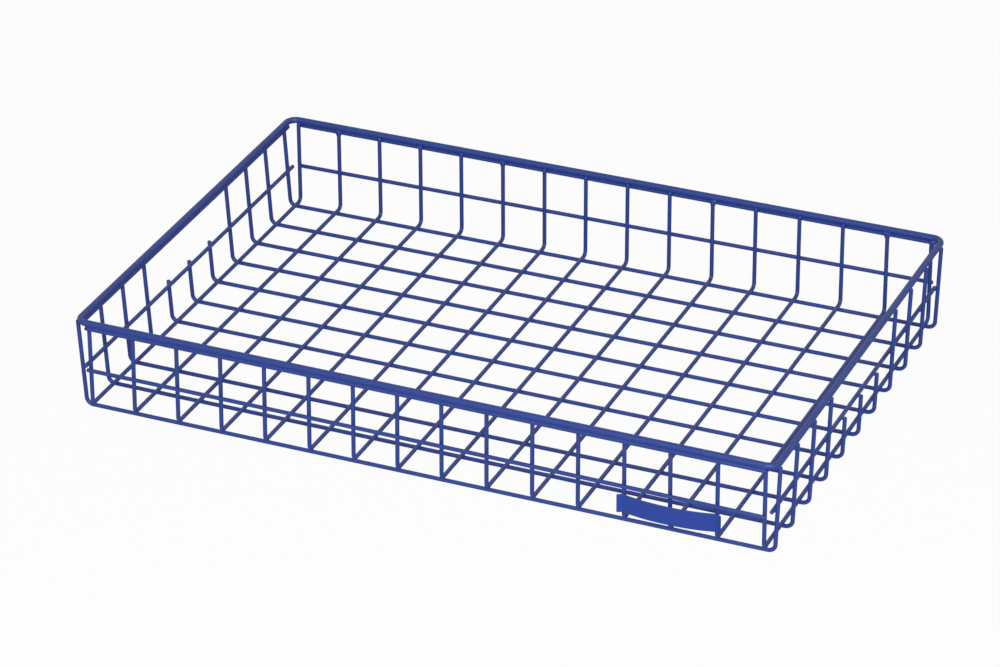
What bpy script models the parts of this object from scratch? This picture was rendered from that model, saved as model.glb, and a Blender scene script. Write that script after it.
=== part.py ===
# Wire tray: an open basket of welded steel wire with a rod rim, a hand-hold in each end wall
# and a bare, bowed label plate on the front wall.
#
# Frame: the origin is under the middle of the tray, on the surface that it stands on. +X runs
# along the long walls, to the right of someone who faces the label plate. +Y runs from the front
# wall, which carries the label plate, to the back wall. +Z is up. Lengths are in metres.

import math

import bmesh
import bpy
from mathutils import Matrix, Vector

MM = 0.001

# Wire mesh: long wires lie below, cross wires lie on them, and both are bent up into the walls
SQUARE = 38.0 * MM  # centre to centre of neighbouring wires
SQUARES_ALONG = 15  # squares between the outer cross wires
SQUARES_ACROSS = 10  # squares between the outer long wires
WIRE_DIAMETER = 3.4 * MM  # over the coating
WELD_GAP = 0.3 * MM  # room left between two pieces that a weld joins

# Front and back walls: the legs of the cross wires stand upright
SIDE_STANDOFF = 4.4 * MM  # outer long wire to the legs outside it
SIDE_BEND_RADIUS = 4.5 * MM  # centre line of the bend at the foot

# End walls: the legs of the long wires lean outward a little
END_STANDOFF = 7.4 * MM  # outer cross wire to the foot of the legs outside it
END_BEND_RADIUS = 6.0 * MM
END_LEAN = math.radians(3.6)

# Straight wires that tie the legs of each wall; heights are above the standing surface
RAIL_HEIGHT = 37.9 * MM
TOP_WIRE_HEIGHT = 76.6 * MM
SIDE_OVERHANG = 2.0 * MM  # rails and top wires past the centre of the last leg
END_RAIL_OVERHANG = 4.0 * MM
END_TOP_OVERHANG = 2.0 * MM
HAND_HOLD_WIRES = 3  # middle long wires that stop at the rail, which opens the hand-hold

# Rim: one rod bent to a rectangle, which lies along the top wires, a little towards the legs
ROD_DIAMETER = 5.5 * MM
ROD_CORNER_RADIUS = 8.5 * MM
ROD_OFFSET = 3.2 * MM  # centre of the legs to the rod's centre line, towards the top wires

# Label plate: a bowed strip held at the outside of two front legs
PLATE_LEGS = (13, 15)  # cross wires, counted from the left
PLATE_HEIGHT = 16.2 * MM
PLATE_THICKNESS = 1.0 * MM
PLATE_FOOT = 11.7 * MM  # standing surface to the plate's lower edge
PLATE_BOW = 6.2 * MM
PLATE_SEAT = 1.6 * MM  # width of the flat that lies against each leg
PLATE_TAB = 4.5 * MM  # centre of the leg to the free end
PLATE_FLARE = 2.0 * MM  # how far the free end stands off the leg
PLATE_CORNER_RADIUS = 1.5 * MM
BOW_POWER = 3  # 2 is a parabola, more is a flatter middle

# Fineness of the solids
WIRE_SIDES = 12
ROD_SIDES = 16
BEND_STEPS = 6
BOW_STEPS = 12
CORNER_STEPS = 3

BRIGHT_BLUE = (0.030, 0.066, 0.392, 1.0)
DEEP_BLUE = (0.024, 0.053, 0.318, 1.0)
COATING_ROUGHNESS = 0.38

# Places that follow from the sizes above
WIRE_RADIUS = WIRE_DIAMETER / 2
ROD_RADIUS = ROD_DIAMETER / 2
WELD_PITCH = WIRE_DIAMETER + WELD_GAP  # between the centres of two crossing wires
LONG_WIRE_Z = WIRE_RADIUS
CROSS_WIRE_Z = LONG_WIRE_Z + WELD_PITCH
OUTER_CROSS_X = SQUARES_ALONG * SQUARE / 2
OUTER_LONG_Y = SQUARES_ACROSS * SQUARE / 2
SIDE_LEG_Y = OUTER_LONG_Y + SIDE_STANDOFF
SIDE_RAIL_Y = SIDE_LEG_Y + WELD_PITCH  # outside the legs
ROD_REACH = ROD_RADIUS + WIRE_RADIUS + WELD_GAP  # between the centres of rod and top wire
ROD_Z = TOP_WIRE_HEIGHT + math.sqrt(ROD_REACH**2 - (WELD_PITCH - ROD_OFFSET) ** 2)
LEG_TOP = ROD_Z - ROD_RADIUS - WELD_GAP
HAND_HOLD_LEG_TOP = RAIL_HEIGHT + WIRE_RADIUS


def end_leg_x(height):
    return OUTER_CROSS_X + END_STANDOFF + (height - LONG_WIRE_Z) * math.tan(END_LEAN)


def end_rail_x(height):
    """Rails of the end walls lie inside the legs."""
    return end_leg_x(height) - WELD_PITCH / math.cos(END_LEAN)


def start_tray():
    """Clears the scene and adds the empty that carries every piece."""
    for old in list(bpy.data.objects):
        bpy.data.objects.remove(old)
    bpy.context.collection.objects.link(bpy.data.objects.new("tray", None))


def coating(name, colour):
    material = bpy.data.materials.new(name)
    material.use_nodes = True
    shader = material.node_tree.nodes["Principled BSDF"]
    shader.inputs["Base Color"].default_value = colour
    shader.inputs["Roughness"].default_value = COATING_ROUGHNESS
    shader.inputs["Metallic"].default_value = 0.0
    return material


def place(name, data, colour, location=(0, 0, 0)):
    """Adds a piece under the tray's empty, with a material of its own."""
    piece = bpy.data.objects.new(name, data)
    bpy.context.collection.objects.link(piece)
    piece.parent = bpy.data.objects["tray"]
    piece.location = location
    piece.material_slots[0].link = "OBJECT"
    piece.material_slots[0].material = coating(name, colour)
    return piece


def arc(before, corner, after, radius):
    """Points of the round bend that replaces a corner."""
    toward_before = (before - corner).normalized()
    toward_after = (after - corner).normalized()
    half_angle = toward_before.angle(toward_after) / 2
    to_tangent = radius / math.tan(half_angle)
    centre = corner + (toward_before + toward_after).normalized() * radius / math.sin(half_angle)
    first = (corner + toward_before * to_tangent - centre).normalized()
    last = (corner + toward_after * to_tangent - centre).normalized()
    turns = [first.slerp(last, step / BEND_STEPS) for step in range(BEND_STEPS + 1)]
    return [centre + radius * turn for turn in turns]


def round_bar(name, points, diameter, sides, closed=False):
    """Curve of a round wire, whose flats lie at the wire's true radius and face straight down."""
    curve = bpy.data.curves.new(name, "CURVE")
    curve.dimensions = "3D"
    curve.bevel_depth = diameter / 2 / math.cos(math.pi / sides)
    curve.bevel_resolution = sides // 2 - 2
    curve.use_fill_caps = not closed
    curve.materials.append(None)
    spline = curve.splines.new("POLY")
    spline.points.add(len(points) - 1)
    for point, position in zip(spline.points, points):
        point.co = position.to_4d()
        point.tilt = math.pi / sides
    spline.use_cyclic_u = closed
    return curve


def bent_wire(name, tip, foot, radius):
    """Wire of the mesh: a flat floor run with a leg at each end, the same at both ends."""
    half_turn = Matrix.Rotation(math.pi, 4, "Z")
    points = [tip]
    points += arc(tip, foot, half_turn @ foot, radius)
    points += arc(foot, half_turn @ foot, half_turn @ tip, radius)
    points.append(half_turn @ tip)
    return round_bar(name, points, WIRE_DIAMETER, WIRE_SIDES)


def long_wire(name, leg_top):
    tip = Vector((-end_leg_x(leg_top), 0, leg_top))
    foot = Vector((-end_leg_x(LONG_WIRE_Z), 0, LONG_WIRE_Z))
    return bent_wire(name, tip, foot, END_BEND_RADIUS)


def add_long_wires():
    full = long_wire("long_wire", LEG_TOP)
    short = long_wire("hand_hold_wire", HAND_HOLD_LEG_TOP)
    middle = SQUARES_ACROSS / 2
    for index in range(SQUARES_ACROSS + 1):
        in_hand_hold = abs(index - middle) < HAND_HOLD_WIRES / 2
        place(
            f"long_wire_{index + 1:02d}",
            short if in_hand_hold else full,
            BRIGHT_BLUE,
            (0, OUTER_LONG_Y - index * SQUARE, 0),
        )


def add_cross_wires():
    tip = Vector((0, -SIDE_LEG_Y, LEG_TOP))
    foot = Vector((0, -SIDE_LEG_Y, CROSS_WIRE_Z))
    shape = bent_wire("cross_wire", tip, foot, SIDE_BEND_RADIUS)
    for index in range(SQUARES_ALONG + 1):
        place(f"cross_wire_{index + 1:02d}", shape, DEEP_BLUE, (index * SQUARE - OUTER_CROSS_X, 0, 0))


def add_wall_wires(kind, height, end_overhang):
    """Straight wires that tie the legs, outside them on the sides and inside them on the ends."""
    side_half = Vector((OUTER_CROSS_X + SIDE_OVERHANG, 0, 0))
    end_half = Vector((0, OUTER_LONG_Y + end_overhang, 0))
    side = round_bar(f"side_{kind}", [-side_half, side_half], WIRE_DIAMETER, WIRE_SIDES)
    end = round_bar(f"end_{kind}", [-end_half, end_half], WIRE_DIAMETER, WIRE_SIDES)
    place(f"front_{kind}", side, BRIGHT_BLUE, (0, -SIDE_RAIL_Y, height))
    place(f"back_{kind}", side, BRIGHT_BLUE, (0, SIDE_RAIL_Y, height))
    place(f"left_{kind}", end, DEEP_BLUE, (-end_rail_x(height), 0, height))
    place(f"right_{kind}", end, DEEP_BLUE, (end_rail_x(height), 0, height))


def add_rim():
    half_length = end_leg_x(TOP_WIRE_HEIGHT) - ROD_OFFSET
    half_depth = SIDE_LEG_Y + ROD_OFFSET
    turns = ((1, 1), (-1, 1), (-1, -1), (1, -1))
    corners = [Vector((x * half_length, y * half_depth, 0)) for x, y in turns]
    points = []
    for index, corner in enumerate(corners):
        after = corners[(index + 1) % len(corners)]
        points += arc(corners[index - 1], corner, after, ROD_CORNER_RADIUS)
    rod = round_bar("rim_rod", points, ROD_DIAMETER, ROD_SIDES, closed=True)
    place("rim_rod", rod, BRIGHT_BLUE, (0, 0, ROD_Z))


def plate_offset(across, half_span):
    """How far the plate stands off its legs, at a distance from its middle."""
    seat_start = half_span - PLATE_SEAT / 2
    seat_end = half_span + PLATE_SEAT / 2
    if across <= seat_start:
        return PLATE_BOW * (1 - (across / seat_start) ** BOW_POWER)
    if across <= seat_end:
        return 0
    return PLATE_FLARE * (across - seat_end) / (half_span + PLATE_TAB - seat_end)


def plate_half_height(across, half_length):
    """Half the plate's height, less where the corners of its free ends are rounded."""
    from_corner = across - (half_length - PLATE_CORNER_RADIUS)
    if from_corner <= 0:
        return PLATE_HEIGHT / 2
    drop = PLATE_CORNER_RADIUS - math.sqrt(max(PLATE_CORNER_RADIUS**2 - from_corner**2, 0))
    return PLATE_HEIGHT / 2 - drop


def add_label_plate():
    first, last = (OUTER_CROSS_X - SQUARE * (SQUARES_ALONG + 1 - leg) for leg in PLATE_LEGS)
    half_span = (last - first) / 2
    half_length = half_span + PLATE_TAB
    corner_start = half_length - PLATE_CORNER_RADIUS
    stations = [half_span * step / BOW_STEPS for step in range(BOW_STEPS)]
    stations += [half_span - PLATE_SEAT / 2, half_span + PLATE_SEAT / 2]
    for step in range(CORNER_STEPS + 1):
        turn = math.pi / 2 * step / CORNER_STEPS
        stations.append(corner_start + PLATE_CORNER_RADIUS * math.sin(turn))
    everywhere = [-across for across in reversed(stations[1:])] + stations

    shape = bmesh.new()
    columns = []
    for position in everywhere:
        across = abs(position)
        half_height = plate_half_height(across, half_length)
        offset = -plate_offset(across, half_span)
        columns.append([shape.verts.new((position, offset, z)) for z in (-half_height, half_height)])
    for (low, high), (next_low, next_high) in zip(columns, columns[1:]):
        shape.faces.new((low, next_low, next_high, high))
    mesh = bpy.data.meshes.new("label_plate")
    shape.to_mesh(mesh)
    shape.free()
    mesh.materials.append(None)

    against_legs = SIDE_LEG_Y + WIRE_RADIUS + WELD_GAP + PLATE_THICKNESS / 2
    middle = ((first + last) / 2, -against_legs, PLATE_FOOT + PLATE_HEIGHT / 2)
    plate = place("label_plate", mesh, BRIGHT_BLUE, middle)
    sheet = plate.modifiers.new("sheet", "SOLIDIFY")
    sheet.thickness = PLATE_THICKNESS
    sheet.offset = 0
    sheet.use_even_offset = True


start_tray()
add_long_wires()
add_cross_wires()
add_wall_wires("rail", RAIL_HEIGHT, END_RAIL_OVERHANG)
add_wall_wires("top_wire", TOP_WIRE_HEIGHT, END_TOP_OVERHANG)
add_rim()
add_label_plate()
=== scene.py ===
import math
import random

import bmesh
import bpy
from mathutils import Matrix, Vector


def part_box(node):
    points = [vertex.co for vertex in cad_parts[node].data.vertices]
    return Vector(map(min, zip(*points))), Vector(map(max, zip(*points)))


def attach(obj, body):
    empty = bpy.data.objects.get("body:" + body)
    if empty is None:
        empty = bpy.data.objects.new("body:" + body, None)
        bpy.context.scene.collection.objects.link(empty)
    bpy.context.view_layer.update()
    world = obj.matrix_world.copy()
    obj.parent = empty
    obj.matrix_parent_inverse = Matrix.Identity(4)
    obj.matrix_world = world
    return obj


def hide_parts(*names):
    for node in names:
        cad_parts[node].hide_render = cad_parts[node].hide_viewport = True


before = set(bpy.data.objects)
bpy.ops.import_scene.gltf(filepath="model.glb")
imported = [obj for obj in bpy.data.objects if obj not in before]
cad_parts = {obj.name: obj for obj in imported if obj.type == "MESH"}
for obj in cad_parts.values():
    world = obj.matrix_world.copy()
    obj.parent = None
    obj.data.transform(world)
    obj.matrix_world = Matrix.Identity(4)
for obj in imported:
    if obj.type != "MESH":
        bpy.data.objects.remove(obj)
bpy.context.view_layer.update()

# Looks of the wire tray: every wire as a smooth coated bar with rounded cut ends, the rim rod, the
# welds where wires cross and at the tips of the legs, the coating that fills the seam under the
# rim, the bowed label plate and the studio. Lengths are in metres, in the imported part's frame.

mm = 0.001
xAxis, yAxis, zAxis = Vector((1, 0, 0)), Vector((0, 1, 0)), Vector((0, 0, 1))
scene = bpy.context.scene
chance = random.Random(38)  # the same draws at every run
longWalls = {"front": -1, "back": 1}  # which way along Y is outward
endWalls = {"left": -1, "right": 1}  # which way along X is outward


# A socket of a node tree, so that shader maths reads as plain sums
class Signal:
    def __init__(self, tree, socket):
        self.tree, self.socket = tree, socket

    def maths(self, operation, first, second):
        return Paint(self.tree).node(
            "ShaderNodeMath", {"operation": operation}, {0: first, 1: second})

    def __add__(self, other):
        return self.maths("ADD", self, other)

    def __radd__(self, other):
        return self.maths("ADD", other, self)

    def __sub__(self, other):
        return self.maths("SUBTRACT", self, other)

    def __rsub__(self, other):
        return self.maths("SUBTRACT", other, self)

    def __mul__(self, other):
        return self.maths("MULTIPLY", self, other)

    def __rmul__(self, other):
        return self.maths("MULTIPLY", other, self)

    # 0 below low, 1 above high and smooth between
    def between(self, low, high):
        return Paint(self.tree).node(
            "ShaderNodeMapRange", {"interpolation_type": "SMOOTHSTEP"},
            {"Value": self, "From Min": low, "From Max": high}, "Result")


def plug(tree, socket, value):
    if isinstance(value, Signal):
        tree.links.new(value.socket, socket)
    else:
        socket.default_value = value


# The nodes of one material or of the world
class Paint:
    def __init__(self, tree):
        self.tree = tree

    def node(self, kind, settings=None, values=None, output=0):
        made = self.tree.nodes.new(kind)
        for name, value in (settings or {}).items():
            setattr(made, name, value)
        for name, value in (values or {}).items():
            plug(self.tree, made.inputs[name], value)
        return Signal(self.tree, made.outputs[output])

    def blend(self, amount, first, second):
        return self.node(
            "ShaderNodeMix", {"data_type": "RGBA"}, {0: amount, 6: first, 7: second}, 2)

    def noise(self, place, size, detail, roughness):
        return self.node("ShaderNodeTexNoise", None, {
            "Vector": place, "Scale": 1 / size, "Detail": detail, "Roughness": roughness})


coating = {
    "blue": (0.0225, 0.0570, 0.3150, 1),
    # deep blue also stands as painted shade over the welds and the rim seam, in the creases they
    # fill
    "deepBlue": (0.0190, 0.0490, 0.2700, 1),  # where the powder lies thick
    "sheetBlue": (0.0215, 0.0630, 0.4050, 1),  # on the flat sheet of the plate
    "thinBlue": (0.0420, 0.0780, 0.3300, 1),  # where it is drawn thin over an edge or rubbed
    "roughness": 0.46,
    "rubbedRoughness": 0.33,
    "gloss": 0.50,
    # size, detail and roughness of each noise
    "cloud": (45 * mm, 3.0, 0.5),  # slow drift of the colour along a wire
    "peel": (1.5 * mm, 2.0, 0.45),  # orange peel of a powder coat
    "grain": (0.28 * mm, 3.0, 0.6),
    "rub": (7 * mm, 4.0, 0.65),
    "noiseMiddle": 0.5,
    # where on its noise each mask starts and ends
    "cloudLimits": (0.3, 0.7),
    "poolLimits": (0.42, 0.62),  # raised parts of the peel, where the powder lies thick
    "rubLimits": (0.56, 0.70),
    # shares of the deep blue that cloud and pool mix in, and of the thin blue that the others do
    "cloudShare": 0.45,
    "poolShare": 0.25,
    "rubShare": 0.45,
    "thinShare": 0.7,
    "grainRoughness": 0.10,
    "poolRoughness": 0.04,
    "peelDepth": 0.012 * mm,
    "grainDepth": 0.002 * mm,
}


# Powder coat. Rubbed says how far handling has polished it, and the mesh attribute "thin" says
# where the coating is drawn thin.
# Deep mixes more deep blue over the whole part. On the welds and the rim seam it is painted shade
# for the creases they fill, and on the rim rod it makes the rod a little darker.
def coatedSteel(name, rubbed, peel=1.0, deep=0.0, blue="blue", gloss=coating["gloss"]):
    material = bpy.data.materials.new(name)
    material.use_nodes = True
    tree = material.node_tree
    paint = Paint(tree)
    shader = tree.nodes["Principled BSDF"]
    place = paint.node("ShaderNodeTexCoord", None, None, "Object")
    thin = paint.node("ShaderNodeAttribute", {"attribute_name": "thin"}, None, "Fac")
    cloud = paint.noise(place, *coating["cloud"]).between(*coating["cloudLimits"])
    peelNoise = paint.noise(place, *coating["peel"])
    grain = paint.noise(place, *coating["grain"])
    rub = paint.noise(place, *coating["rub"]).between(*coating["rubLimits"]) * rubbed
    pool = peelNoise.between(*coating["poolLimits"])
    # thick carries the deep blue of thick powder and, through deep, the painted crease shade of the
    # welds
    thick = cloud * coating["cloudShare"] + pool * coating["poolShare"] + deep
    base = paint.blend(thick, coating[blue], coating["deepBlue"])
    worn = rub * coating["rubShare"] + thin * coating["thinShare"]
    colour = paint.blend(worn, base, coating["thinBlue"])
    polish = rub * (coating["roughness"] - coating["rubbedRoughness"])
    speckle = (grain - coating["noiseMiddle"]) * coating["grainRoughness"]
    roughness = coating["roughness"] + speckle + pool * coating["poolRoughness"] - polish
    depths = peelNoise * (coating["peelDepth"] * peel / mm) + grain * (coating["grainDepth"] / mm)
    bump = paint.node("ShaderNodeBump", None, {"Strength": 1.0, "Distance": mm, "Height": depths})
    plug(tree, shader.inputs["Base Color"], colour)
    plug(tree, shader.inputs["Roughness"], roughness)
    plug(tree, shader.inputs["Normal"], bump)
    shader.inputs["Specular IOR Level"].default_value = gloss
    return material


wireCoat = coatedSteel("wireCoat", rubbed=0.5)
rodCoat = coatedSteel("rodCoat", rubbed=0.9, deep=0.15)
plateCoat = coatedSteel("plateCoat", rubbed=0.5, blue="sheetBlue", gloss=0.40)
# the welds' extra deep blue is painted shade for the creases between the wires and under the rim
weldCoatPaintedShade = coatedSteel("weldCoatPaintedShade", rubbed=0.3, peel=1.6, deep=0.2)
print("finishes made")


def middleOf(node):
    low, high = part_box(node)
    return (low + high) / 2


# The tray is welded by hand and a little twisted: two corners of its floor are raised, and the
# other two corners of its rim are low
twist = {
    "floorFrontLeft": 1.8 * mm,
    "floorBackRight": 1.4 * mm,
    "rimFrontRight": -2.1 * mm,
    "rimBackLeft": -0.5 * mm,
}
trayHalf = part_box("rim_rod")[1] - middleOf("rim_rod")
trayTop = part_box("rim_rod")[1].z


# Wires welded by hand also wander. These are the 16 cross wires' moves to the right, in mm, along
# the front and back of the floor, its middle, and the tops of the two long walls.
wander = {
    "frontTop": (0, 0.5, 0.9, 1.2, 1.2, 1.5, 1.5, 1.1, 0.3, 0.2, 0.3, 0.2, -0.1, -0.7, -0.2, 0),
    "front": (0, -0.5, 0, 0, 0.2, 0.7, 0.7, 0.2, -0.3, -0.4, -0.2, -0.2, 0, -0.3, 0, 0),
    "middle": (0, -0.2, 0.4, 0.2, 0.5, 1.1, 1.2, 0.5, -0.1, -0.1, 0, -0.2, 0.1, -0.2, 0, 0),
    "back": (0, 0, 0.1, 0, -0.1, 0.2, 0.3, -0.3, -0.7, -0.8, -0.4, -0.4, -0.1, -0.3, 0.2, 0),
    "backTop": (0, 0, 0.1, 0.2, 0, 0.4, 0.4, 0, -0.4, -0.7, -0.4, -0.4, 0, -0.2, 0.3, 0),
}
crossEnds = middleOf("cross_wire_01").x, middleOf("cross_wire_16").x


def wanderAlong(row, x):
    moves = wander[row]
    place = (x - crossEnds[0]) / (crossEnds[1] - crossEnds[0]) * (len(moves) - 1)
    first = min(max(int(place), 0), len(moves) - 2)
    share = min(max(place - first, 0), 1)
    return (moves[first] + (moves[first + 1] - moves[first]) * share) * mm


# How far a point wanders to the right
def wanderAt(point):
    back, height = point.y / trayHalf.y, point.z / trayTop
    floor = wanderAlong("front", point.x) * back * (back - 1) / 2
    floor += wanderAlong("middle", point.x) * (1 - back ** 2)
    floor += wanderAlong("back", point.x) * back * (back + 1) / 2
    top = wanderAlong("frontTop" if back < 0 else "backTop", point.x)
    return floor + (top - floor) * height


# How far the twist moves a point up
def twistAt(point):
    right, back = (point.x / trayHalf.x + 1) / 2, (point.y / trayHalf.y + 1) / 2
    floor = twist["floorFrontLeft"] * (1 - right) * (1 - back) ** 2
    floor += twist["floorBackRight"] * right * back ** 2
    rim = twist["rimFrontRight"] * right * (1 - back) + twist["rimBackLeft"] * (1 - right) * back
    return floor + (rim - floor) * point.z / trayTop


# Turns a bmesh into a piece that stands for these CAD nodes. Thin is a function of a point.
def addPiece(name, shape, material, nodes=(), thin=None):
    bmesh.ops.recalc_face_normals(shape, faces=shape.faces)
    if thin:
        layer = shape.verts.layers.float.new("thin")
        for vert in shape.verts:
            vert[layer] = thin(vert.co)
    for vert in shape.verts:
        vert.co += Vector((wanderAt(vert.co), 0, twistAt(vert.co)))
    mesh = bpy.data.meshes.new(name)
    shape.to_mesh(mesh)
    shape.free()
    mesh.shade_smooth()
    mesh.materials.append(material)
    piece = bpy.data.objects.new(name, mesh)
    scene.collection.objects.link(piece)
    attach(piece, "root")
    if nodes:
        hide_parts(*nodes)


# Joins rings of points, each the same length, into a skin
def skin(shape, rings, closed=False, capped=False):
    following = rings[1:] + rings[:1] if closed else rings[1:]
    for ring, after in zip(rings, following):
        for step in range(len(ring)):
            turn = (step + 1) % len(ring)
            shape.faces.new((ring[step], ring[turn], after[turn], after[step]))
    if capped:
        shape.faces.new(rings[0])
        shape.faces.new(rings[-1])


# Points of the round bend that replaces a corner
def bend(before, corner, after, radius, steps=12):
    toBefore = (before - corner).normalized()
    toAfter = (after - corner).normalized()
    half = toBefore.angle(toAfter) / 2
    centre = corner + (toBefore + toAfter).normalized() * radius / math.sin(half)
    first = (corner + toBefore * radius / math.tan(half) - centre).normalized()
    last = (corner + toAfter * radius / math.tan(half) - centre).normalized()
    return [centre + radius * first.slerp(last, step / steps) for step in range(steps + 1)]


# A round bar along a path that lies in the plane that side stands on
def addBar(shape, places, radii, side, sides, closed=False, tips=None):
    rings = []
    last = len(places) - 1
    turns = [2 * math.pi * step / sides for step in range(sides)]
    for index, place in enumerate(places):
        before = places[index - 1] if closed or index else place
        after = places[(index + 1) % len(places)] if closed or index < last else place
        out = side.cross((after - before).normalized())
        around = [out * math.cos(turn) + side * math.sin(turn) for turn in turns]
        rings.append([shape.verts.new(place + radii[index] * way) for way in around])
    skin(shape, rings, closed)
    for ring, tip in zip((rings[0], rings[-1]), tips or ()):
        point = shape.verts.new(tip)
        for step in range(sides):
            shape.faces.new((ring[step], ring[(step + 1) % sides], point))


meshWire = {
    "radius": 1.7 * mm,
    "edge": 1.15 * mm,  # rounding of a coated cut end
    "edgeSteps": 5,
    "crown": 0.12 * mm,  # dome of the end inside that rounding
    "sides": 28,
    "tipRise": 2.1 * mm,  # a long wall's leg runs on beside the rim rod, into the weld
    "thinReach": 2.2 * mm,  # the coating is thin for this far from a cut end
}
longWire = {
    "bend": 6.0 * mm,
    "lean": math.radians(3.6),
    "count": 11,
    "fullHeight": 60 * mm,  # taller legs reach the rim, the others end at the rail
}
leans = {"left": longWire["lean"], "right": math.radians(2.0)}  # the right wall stands steeper
crossWire = {"bend": 4.5 * mm, "count": 16}
longNodes = [f"long_wire_{number:02d}" for number in range(1, longWire["count"] + 1)]
crossNodes = [f"cross_wire_{number:02d}" for number in range(1, crossWire["count"] + 1)]
fullLegs = [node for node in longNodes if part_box(node)[1].z > longWire["fullHeight"]]


# The long rails aren't quite straight. These are the rises of their left end, middle and right end.
railRises = {
    "front_rail": (0.2 * mm, -0.6 * mm, -2.7 * mm),
    "back_rail": (-0.6 * mm, 0.6 * mm, 1.5 * mm),
}


def railRise(node, x):
    left, middle, right = railRises.get(node, (0, 0, 0))
    place = x / trayHalf.x
    return middle + (right - left) / 2 * place + ((left + right) / 2 - middle) * place ** 2


# Path and radii of a wire whose cut ends are rounded over by the coating
def roundEnds(path):
    radius, edge, steps = meshWire["radius"], meshWire["edge"], meshWire["edgeSteps"]
    turns = [math.pi / 2 * step / steps for step in range(steps + 1)]

    def tip(end, inner):
        inward = (inner - end).normalized()
        return [end + inward * (meshWire["crown"] + edge * (1 - math.sin(turn))) for turn in turns]

    radii = [radius - edge * (1 - math.cos(turn)) for turn in turns]
    places = tip(path[0], path[1])[::-1] + path[1:-1] + tip(path[-1], path[-2])
    return places, radii[::-1] + [radius] * (len(path) - 2) + radii


def addWire(name, path, side, nodes):
    shape = bmesh.new()
    places, radii = roundEnds(path)
    addBar(shape, places, radii, side, meshWire["sides"], tips=(path[0], path[-1]))

    def thin(point):
        nearest = min((point - end).length for end in (path[0], path[-1]))
        return max(0.0, 1 - nearest / meshWire["thinReach"])

    addPiece(name, shape, wireCoat, nodes, thin)


# Middle of a rail or top wire, which goes with the lean of its wall
def wireMiddle(wall, kind):
    middle = middleOf(f"{wall}_{kind}")
    steeper = math.tan(longWire["lean"]) - math.tan(leans.get(wall, longWire["lean"]))
    return middle - xAxis * (middle.z - meshWire["radius"]) * steeper


# Upward along the leaning legs of an end wall
def legUpOf(wall):
    return (zAxis + xAxis * endWalls[wall] * math.tan(leans[wall])).normalized()


# Places along a straight run, close enough for the twist to bend it
def evenRun(first, last, steps=12):
    return [first.lerp(last, step / steps) for step in range(steps + 1)]


# A bent wire from tip to tip
def bentPath(tip, foot, otherFoot, otherTip, radius):
    first = bend(tip, foot, otherFoot, radius)
    last = bend(foot, otherFoot, otherTip, radius)
    return [tip, *first, *evenRun(foot, otherFoot)[1:-1], *last, otherTip]


def longWirePath(node):
    low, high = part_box(node)
    radius, lean = meshWire["radius"], longWire["lean"]
    y = middleOf(node).y
    legTop = high.z - radius * math.sin(lean)
    legTopX = low.x + radius * math.cos(lean)
    tall = legTop - radius
    foot = Vector((legTopX + tall * math.tan(lean), y, radius))
    otherFoot = Vector((-foot.x, y, radius))
    tip = foot + Vector((-tall * math.tan(leans["left"]), 0, tall))
    otherTip = otherFoot + Vector((tall * math.tan(leans["right"]), 0, tall))
    return bentPath(tip, foot, otherFoot, otherTip, longWire["bend"])


def crossWirePath(node):
    low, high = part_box(node)
    radius, x = meshWire["radius"], middleOf(node).x
    foot = Vector((x, low.y + radius, low.z + radius))
    tip = Vector((x, low.y + radius, high.z + meshWire["tipRise"]))
    mirror = Vector((1, -1, 1))
    return bentPath(tip, foot, foot * mirror, tip * mirror, crossWire["bend"])


for node in longNodes:
    addWire(f"{node}_coated", longWirePath(node), yAxis, [node])
for node in crossNodes:
    addWire(f"{node}_coated", crossWirePath(node), xAxis, [node])
for wall in (*longWalls, *endWalls):
    for kind in ("rail", "top_wire"):
        node = f"{wall}_{kind}"
        low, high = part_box(node)
        along = xAxis if wall in longWalls else yAxis
        reach = along * (high - low).dot(along) / 2
        middle = wireMiddle(wall, kind)
        run = evenRun(middle - reach, middle + reach)
        path = [place + zAxis * railRise(node, place.x) for place in run]
        addWire(f"{node}_coated", path, zAxis, [node])
print("wires made")


rimRod = {"radius": 2.75 * mm, "corner": 8.5 * mm, "sides": 40, "cornerSteps": 20}

rodMiddle = middleOf("rim_rod")
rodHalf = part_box("rim_rod")[1] - rodMiddle - Vector((rimRod["radius"],) * 3)
quarters = ((1, 1), (-1, 1), (-1, -1), (1, -1))
corners = [rodMiddle + Vector((x * rodHalf.x, y * rodHalf.y, 0)) for x, y in quarters]
places = []
for index, corner in enumerate(corners):
    after = corners[(index + 1) % len(corners)]
    places += bend(corners[index - 1], corner, after, rimRod["corner"], rimRod["cornerSteps"])
shape = bmesh.new()
addBar(shape, places, [rimRod["radius"]] * len(places), zAxis, rimRod["sides"], closed=True)
addPiece("rim_rod_coated", shape, rodCoat, ["rim_rod"])
print("rim rod made")


# Welds where two wires cross
weld = {
    "spread": 1.46 * mm,  # radius of the weld where it meets the wires
    "waist": 1.08 * mm,
    "widest": 1.6 * mm,
    "sink": 0.10 * mm,  # how deep its edge lies in the wires
    "pitch": 3.7 * mm,  # between the centres of the two wires
    "segments": 20,
    "levels": (-1, -0.7, -0.35, 0, 0.35, 0.7, 1),  # from the lower wire to the upper one
    "uneven": 0.10,  # in size
    "oval": 0.06,
    "lobes": 0.04,
}


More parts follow.
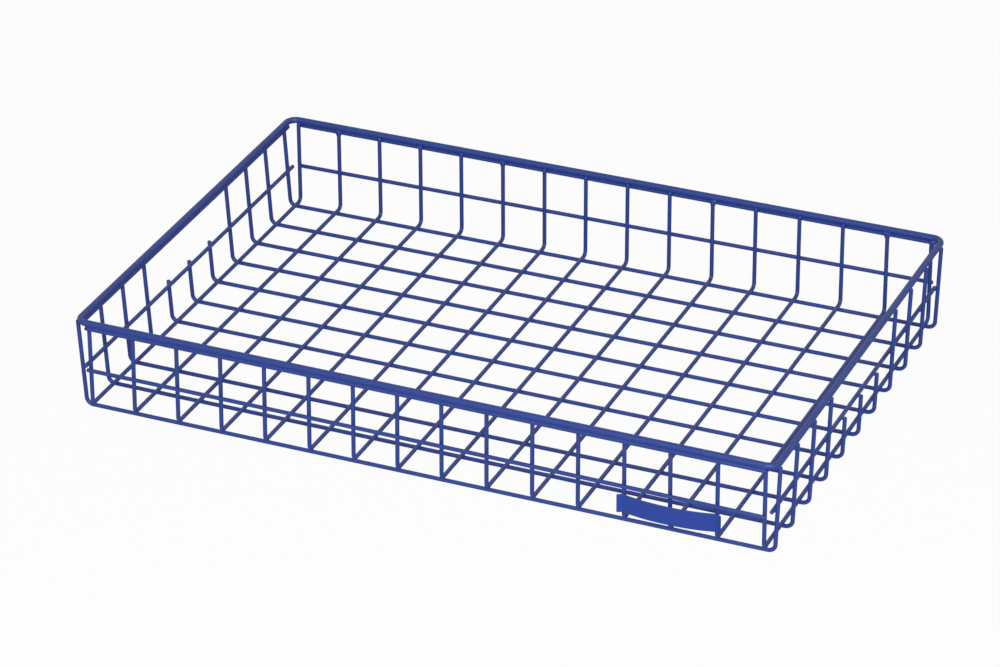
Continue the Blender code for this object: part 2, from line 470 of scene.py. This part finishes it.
# One weld between a lower and an upper wire, drawn in where the wires leave room
def addWeld(shape, centre, lowerAlong, upperAlong):
    normal = lowerAlong.cross(upperAlong).normalized()
    radius = meshWire["radius"]
    size = 1 + chance.uniform(-1, 1) * weld["uneven"]
    phase = chance.uniform(0, 2 * math.pi)
    rings = []
    for level in weld["levels"]:
        ring = []
        for step in range(weld["segments"]):
            turn = 2 * math.pi * step / weld["segments"]
            wobble = 1 + weld["oval"] * math.sin(2 * turn + phase)
            wobble += weld["lobes"] * math.sin(3 * turn - phase)
            wobble *= size
            edge = min(weld["spread"] * wobble, weld["widest"])
            across = edge * math.cos(turn), edge * math.sin(turn)
            lowest = math.sqrt(radius ** 2 - across[1] ** 2) - weld["pitch"] / 2 - weld["sink"]
            highest = weld["pitch"] / 2 - math.sqrt(radius ** 2 - across[0] ** 2) + weld["sink"]
            waist = weld["waist"] * wobble
            out = waist + (edge - waist) * level ** 2
            height = lowest + (highest - lowest) * (level + 1) / 2
            spot = lowerAlong * (out * math.cos(turn)) + upperAlong * (out * math.sin(turn))
            ring.append(shape.verts.new(centre + spot + normal * height))
        rings.append(ring)
    skin(shape, rings, capped=True)


floorWeldZ = (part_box(longNodes[0])[0].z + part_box(crossNodes[0])[0].z) / 2 + meshWire["radius"]
shape = bmesh.new()
for longNode in longNodes:
    for crossNode in crossNodes:
        x, y = middleOf(crossNode).x, middleOf(longNode).y
        addWeld(shape, Vector((x, y, floorWeldZ)), xAxis, yAxis)
addPiece("floor_welds", shape, weldCoatPaintedShade)

for wall, outward in longWalls.items():
    shape = bmesh.new()
    for kind in ("rail", "top_wire"):
        wire = wireMiddle(wall, kind)
        for crossNode in crossNodes:
            x = middleOf(crossNode).x
            z = wire.z + railRise(f"{wall}_{kind}", x)
            spot = Vector((x, wire.y - outward * weld["pitch"] / 2, z))
            addWeld(shape, spot, zAxis, xAxis * outward)
    addPiece(f"{wall}_wall_welds", shape, weldCoatPaintedShade)

for wall, outward in endWalls.items():
    shape = bmesh.new()
    legUp = legUpOf(wall)
    towardLeg = yAxis.cross(legUp) * outward
    for kind, legs in (("rail", longNodes), ("top_wire", fullLegs)):
        wire = wireMiddle(wall, kind)
        for longNode in legs:
            spot = Vector((wire.x, middleOf(longNode).y, wire.z)) + towardLeg * weld["pitch"] / 2
            addWeld(shape, spot, yAxis, legUp * outward)
    addPiece(f"{wall}_wall_welds", shape, weldCoatPaintedShade)
print("welds made")


# Seam under the rim, where coating and weld fill the room between rod and top wire
seam = {
    "fillet": 1.10 * mm,  # radius of the hollow on each side
    "filletSteps": 6,
    "tack": 0.60 * mm,  # how much fuller it is beside a leg
    "tackReach": 3.2 * mm,
    "step": 2.5 * mm,  # along the seam
    "drift": 0.16 * mm,  # how much the fillet varies
    "inset": 1.2 * mm,  # from the ends of the top wire
}


# Outline of the filling across the seam, with a rounded hollow on each side
def seamOutline(rod, wire, fillet, up):
    rodRadius, wireRadius = rimRod["radius"], meshWire["radius"]
    reach = (wire - rod).length
    along = (wire - rod).normalized()
    across = up.cross(along)
    toFoot = ((rodRadius + fillet) ** 2 - (wireRadius + fillet) ** 2 + reach ** 2) / (2 * reach)
    off = math.sqrt((rodRadius + fillet) ** 2 - toFoot ** 2)
    steps = seam["filletSteps"]
    outline = []
    for hand in (1, -1):
        centre = rod + along * toFoot + across * off * hand
        toRod = (rod - centre).normalized()
        toWire = (wire - centre).normalized()
        points = [centre + fillet * toRod.slerp(toWire, step / steps) for step in range(steps + 1)]
        outline += points if hand == 1 else points[::-1]
    return outline


for wall in (*longWalls, *endWalls):
    lengthwise = wall in longWalls
    along = xAxis if lengthwise else yAxis
    wire = wireMiddle(wall, "top_wire")
    rod = Vector((wire.x, wire.y, rodMiddle.z))
    if lengthwise:
        rod.y = math.copysign(rodHalf.y, wire.y)
        legPlaces = [middleOf(node).x for node in crossNodes]
    else:
        rod.x = math.copysign(rodHalf.x, wire.x)
        legPlaces = [middleOf(node).y for node in fullLegs]
    first, last = (corner.dot(along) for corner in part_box(f"{wall}_top_wire"))
    first, last = first + seam["inset"], last - seam["inset"]
    count = round((last - first) / seam["step"])
    shape = bmesh.new()
    rings = []
    for step in range(count + 1):
        place = first + (last - first) * step / count
        nearest = min(abs(place - leg) for leg in legPlaces)
        fillet = seam["fillet"] + seam["drift"] * chance.uniform(-1, 1)
        fillet += seam["tack"] * math.exp(-(nearest / seam["tackReach"]) ** 2)
        shift = along * (place - wire.dot(along))
        outline = seamOutline(rod, wire, fillet, along)
        rings.append([shape.verts.new(point + shift) for point in outline])
    skin(shape, rings, capped=True)
    addPiece(f"{wall}_rim_seam", shape, weldCoatPaintedShade)
print("rim seams made")


# Welds that join the tip of each leg to the rim rod. Some legs carry a fuller one, which runs
# down the leg as a gusset.
tipWeld = {
    "foot": 5.4 * mm,  # below the rod's centre line, where it starts on the leg
    "start": 1.62 * mm,  # its radius there
    "spread": 1.95 * mm,
    "flarePower": 1.7,
    "segments": 20,
    "levels": 9,
    "shoulder": 0.72,  # share of its height at which the dome begins
    "domeEnd": 1.002,  # just past its top, which leaves a small flat
    "uneven": 0.08,  # in size
    "oval": 0.05,
    "spiral": 3,
}
# How far each kind stays under the rod's centre line, and how far it reaches towards the rod
longWallWeld = {"top": 0.5 * mm, "toRod": 1.1 * mm}
endWallWeld = {"top": 1.5 * mm, "toRod": 1.8 * mm}
gusset = {
    "foot": 8.2 * mm,
    "spread": 3.6 * mm,
    "shifts": {2: -0.9 * mm, 6: -0.9 * mm, 11: 0.0, 15: -0.9 * mm, 16: 1.3 * mm},  # to the right
}


# Beside is the place on the leg's line at the height of the rod's centre
def addTipWeld(shape, beside, legUp, toRod, right, reach, number=0):
    full = number in gusset["shifts"]
    size = 1 + chance.uniform(-1, 1) * tipWeld["uneven"]
    phase = chance.uniform(0, 2 * math.pi)
    shift = gusset["shifts"].get(number, 0)
    foot = gusset["foot"] if full else tipWeld["foot"]
    spread = (gusset["spread"] if full else tipWeld["spread"]) * size
    start, shoulder = tipWeld["start"], tipWeld["shoulder"]
    rings = []
    for level in range(tipWeld["levels"] + 1):
        share = level / tipWeld["levels"]
        flare = min(share / shoulder, 1) ** tipWeld["flarePower"]
        overDome = max(0.0, (share - shoulder) / (tipWeld["domeEnd"] - shoulder))
        dome = math.sqrt(1 - overDome ** 2)
        wide = (start + (spread - start) * flare) * dome
        deep = (start + (tipWeld["spread"] - start) * flare) * dome
        middle = beside + legUp * ((foot - reach["top"]) * share - foot)
        middle += toRod * (reach["toRod"] * flare) + right * (shift * flare)
        ring = []
        for step in range(tipWeld["segments"]):
            turn = 2 * math.pi * step / tipWeld["segments"]
            sway = 2 * turn + phase + tipWeld["spiral"] * share
            wobble = 1 + flare * tipWeld["oval"] * math.sin(sway)
            spot = right * (wide * math.cos(turn)) + toRod * (deep * math.sin(turn))
            ring.append(shape.verts.new(middle + spot * wobble))
        rings.append(ring)
    skin(shape, rings, capped=True)


for wall, outward in longWalls.items():
    shape = bmesh.new()
    legY = outward * (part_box(crossNodes[0])[1].y - meshWire["radius"])
    for number, node in enumerate(crossNodes, 1):
        beside = Vector((middleOf(node).x, legY, rodMiddle.z))
        addTipWeld(shape, beside, zAxis, yAxis * outward, xAxis, longWallWeld, number)
    addPiece(f"{wall}_tip_welds", shape, weldCoatPaintedShade)

# The last leg of the right wall stands free beside the corner of the rod
for wall, outward in endWalls.items():
    shape = bmesh.new()
    legUp = legUpOf(wall)
    for node in fullLegs[1:] if outward > 0 else fullLegs:
        path = longWirePath(node)
        tip = path[-1] if path[-1].x * outward > 0 else path[0]
        beside = tip + legUp * (rodMiddle.z - tip.z) / legUp.z
        addTipWeld(shape, beside, legUp, xAxis * -outward, yAxis, endWallWeld)
    addPiece(f"{wall}_tip_welds", shape, weldCoatPaintedShade)
print("tip welds made")


plate = {
    "thickness": 1.0 * mm,
    "edge": 0.30 * mm,  # rounding of the sheet's edges
    "edgeSteps": 4,
    "leastEdge": 0.02 * mm,
    "sideShares": (0.88, 0.5, 0, -0.5, -0.88),  # points down each face, as shares of its height
    "seat": 1.6 * mm,  # width of the flat on each leg
    "tab": 4.5 * mm,  # centre of the leg to the free end
    "tabShares": (0.4, 0.6),
    "flare": 2.0 * mm,  # how far the free end stands off the leg
    "corner": 0.9 * mm,
    "cornerSteps": 5,
    "bowPower": 2.2,
    "bowShare": 0.72,  # of the room that its CAD box has for the bow
    "bowSteps": 28,
    "rise": 0.5 * mm,
    "nudge": 0.01 * mm,  # for the slope of its middle surface
    "thinReach": 0.9 * mm,
    "legs": ("cross_wire_13", "cross_wire_15"),
}

low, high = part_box("label_plate")
plateMiddle = middleOf("label_plate") + zAxis * plate["rise"]
halfHeight = (high.z - low.z) / 2
halfSpan = (middleOf(plate["legs"][1]).x - middleOf(plate["legs"][0]).x) / 2
halfLength = halfSpan + plate["tab"]
seatStart, seatEnd = halfSpan - plate["seat"] / 2, halfSpan + plate["seat"] / 2
bowDepth = ((high.y - low.y) - plate["thickness"]) * plate["bowShare"]
wallSide = high.y - plate["thickness"] / 2


# How far the plate's middle surface stands off its legs
def plateOffset(across):
    if across <= seatStart:
        return bowDepth * (1 - (across / seatStart) ** plate["bowPower"])
    if across <= seatEnd:
        return 0
    return plate["flare"] * (across - seatEnd) / (halfLength - seatEnd)


def platePlace(position):
    toWall = wallSide - plateMiddle.y - plateOffset(abs(position))
    return plateMiddle + xAxis * position + yAxis * toWall


# What a rounding of this radius takes off at a place this far from the plate's end
def roundedOff(fromEnd, radius):
    if fromEnd >= radius:
        return 0
    return radius - math.sqrt(radius ** 2 - (radius - fromEnd) ** 2)


# Outline of the sheet cut across, with rounded edges
def plateSection(position):
    fromEnd = halfLength - abs(position)
    tall = halfHeight - roundedOff(fromEnd, plate["corner"])
    lost = roundedOff(fromEnd, plate["edge"])
    thick = plate["thickness"] / 2 - lost
    edge = max(plate["edge"] - lost, plate["leastEdge"])
    steps = plate["edgeSteps"]
    turns = [math.pi / 2 * step / steps for step in range(steps + 1)]
    outline = []
    for upward, outward in ((1, 1), (1, -1), (-1, -1), (-1, 1)):
        arc = [(upward * (tall - edge + edge * math.cos(turn)),
                outward * (thick - edge + edge * math.sin(turn))) for turn in turns]
        outline += arc[::-1] if upward == outward else arc
        if upward != outward:
            outline += [(upward * share * tall, outward * thick) for share in plate["sideShares"]]
    nudge = plate["nudge"]
    along = (platePlace(position + nudge) - platePlace(position - nudge)).normalized()
    wayOut = along.cross(zAxis)
    return [platePlace(position) + zAxis * up + wayOut * out for up, out in outline]


# 1 on the plate's outline, falling to 0 a little way in
def plateThin(point):
    inward = halfLength - abs(point.x - plateMiddle.x), halfHeight - abs(point.z - plateMiddle.z)
    return max(0.0, 1 - min(inward) / plate["thinReach"])


stations = {seatStart * step / plate["bowSteps"] for step in range(plate["bowSteps"] + 1)}
stations |= {halfSpan, seatEnd}
stations |= {halfSpan + plate["tab"] * share for share in plate["tabShares"]}
steps = plate["cornerSteps"]
cornerTurns = [math.pi / 2 * step / steps for step in range(steps + 1)]
for radius in (plate["corner"], plate["edge"]):
    stations |= {halfLength - radius * (1 - math.sin(turn)) for turn in cornerTurns}
everywhere = sorted(stations | {-across for across in stations})
shape = bmesh.new()
rings = [[shape.verts.new(point) for point in plateSection(position)] for position in everywhere]
skin(shape, rings, capped=True)
addPiece("label_plate_coated", shape, plateCoat, ["label_plate"], plateThin)
print("label plate made")


studio = {
    "floor": (0.90, 0.90, 0.90, 1),
    "floorReach": 12,  # metres from the middle to each side
    "floorRoughness": 0.9,
    "floorGlow": 0.96,  # share of plain white that the camera sees in the floor
    "worldFill": 0.10,  # light from the world, beside the plain white that the camera sees
    "keyPower": 113.0,
    "keyBearing": 25,
    "keyHeight": 32,
    "keyDistance": 4.0,
    "lampSize": 1.4,
    "aimHeight": 40 * mm,
}
view = {
    "sensor": 36,
    "lens": 170.03,
    "clip": (0.1, 60),
    "place": (1.30736, -3.08120, 1.86267),
    "turn": (1.07037, 0.0046, 0.4028),
}

floorMesh = bpy.data.meshes.new("studio_floor")
floorCorners = [(x * studio["floorReach"], y * studio["floorReach"], 0) for x, y in quarters]
floorMesh.from_pydata(floorCorners, [], [(0, 1, 2, 3)])
floor = bpy.data.objects.new("studio_floor", floorMesh)
scene.collection.objects.link(floor)
floorFinish = bpy.data.materials.new("studioFloor")
floorFinish.use_nodes = True
floorTree = floorFinish.node_tree
floorPaint = Paint(floorTree)
floorShader = floorTree.nodes["Principled BSDF"]
floorShader.inputs["Base Color"].default_value = studio["floor"]
floorShader.inputs["Roughness"].default_value = studio["floorRoughness"]
seen = floorPaint.node("ShaderNodeLightPath", None, None, "Is Camera Ray")
white = floorPaint.node("ShaderNodeEmission", None, {"Color": (1, 1, 1, 1), "Strength": 1.0})
plain = Signal(floorTree, floorShader.outputs[0])
mixed = floorPaint.node(
    "ShaderNodeMixShader", None, {0: seen * studio["floorGlow"], 1: plain, 2: white})
plug(floorTree, floorTree.nodes["Material Output"].inputs["Surface"], mixed)
floorMesh.materials.append(floorFinish)

world = bpy.data.worlds.new("studio")
world.use_nodes = True
scene.world = world
rays = world.node_tree.nodes.new("ShaderNodeLightPath")
kinds = ("Is Camera Ray", "Is Glossy Ray", "Is Transmission Ray")
toCamera, glossy, through = (Signal(world.node_tree, rays.outputs[kind]) for kind in kinds)
seenDirectly = (toCamera + glossy + through).between(0.0, 1.0)
background = world.node_tree.nodes["Background"]
background.inputs["Color"].default_value = (1, 1, 1, 1)
strength = studio["worldFill"] + seenDirectly * (1 - studio["worldFill"])
plug(world.node_tree, background.inputs["Strength"], strength)


# A soft lamp that looks at the tray from a bearing (0 is the front, 90 the right) and a height
def addLamp(name, bearing, height, distance, size, power):
    light = bpy.data.lights.new(name, "AREA")
    light.shape = "DISK"
    light.size = size
    light.energy = power
    lamp = bpy.data.objects.new(name, light)
    scene.collection.objects.link(lamp)
    bearing, height = math.radians(bearing), math.radians(height)
    level = Vector((math.sin(bearing), -math.cos(bearing), 0)) * math.cos(height)
    toLamp = level + zAxis * math.sin(height)
    lamp.location = toLamp * distance + zAxis * studio["aimHeight"]
    lamp.rotation_mode = "QUATERNION"
    lamp.rotation_quaternion = toLamp.to_track_quat("Z", "Y")


addLamp("key_lamp", studio["keyBearing"], studio["keyHeight"], studio["keyDistance"],
        studio["lampSize"], studio["keyPower"])

camera = bpy.data.objects.new("camera", bpy.data.cameras.new("camera"))
scene.collection.objects.link(camera)
camera.data.sensor_width = view["sensor"]
camera.data.lens = view["lens"]
camera.data.clip_start, camera.data.clip_end = view["clip"]
camera.location = view["place"]
camera.rotation_euler = view["turn"]
scene.camera = camera
scene.view_settings.view_transform = "Standard"
print("studio made")
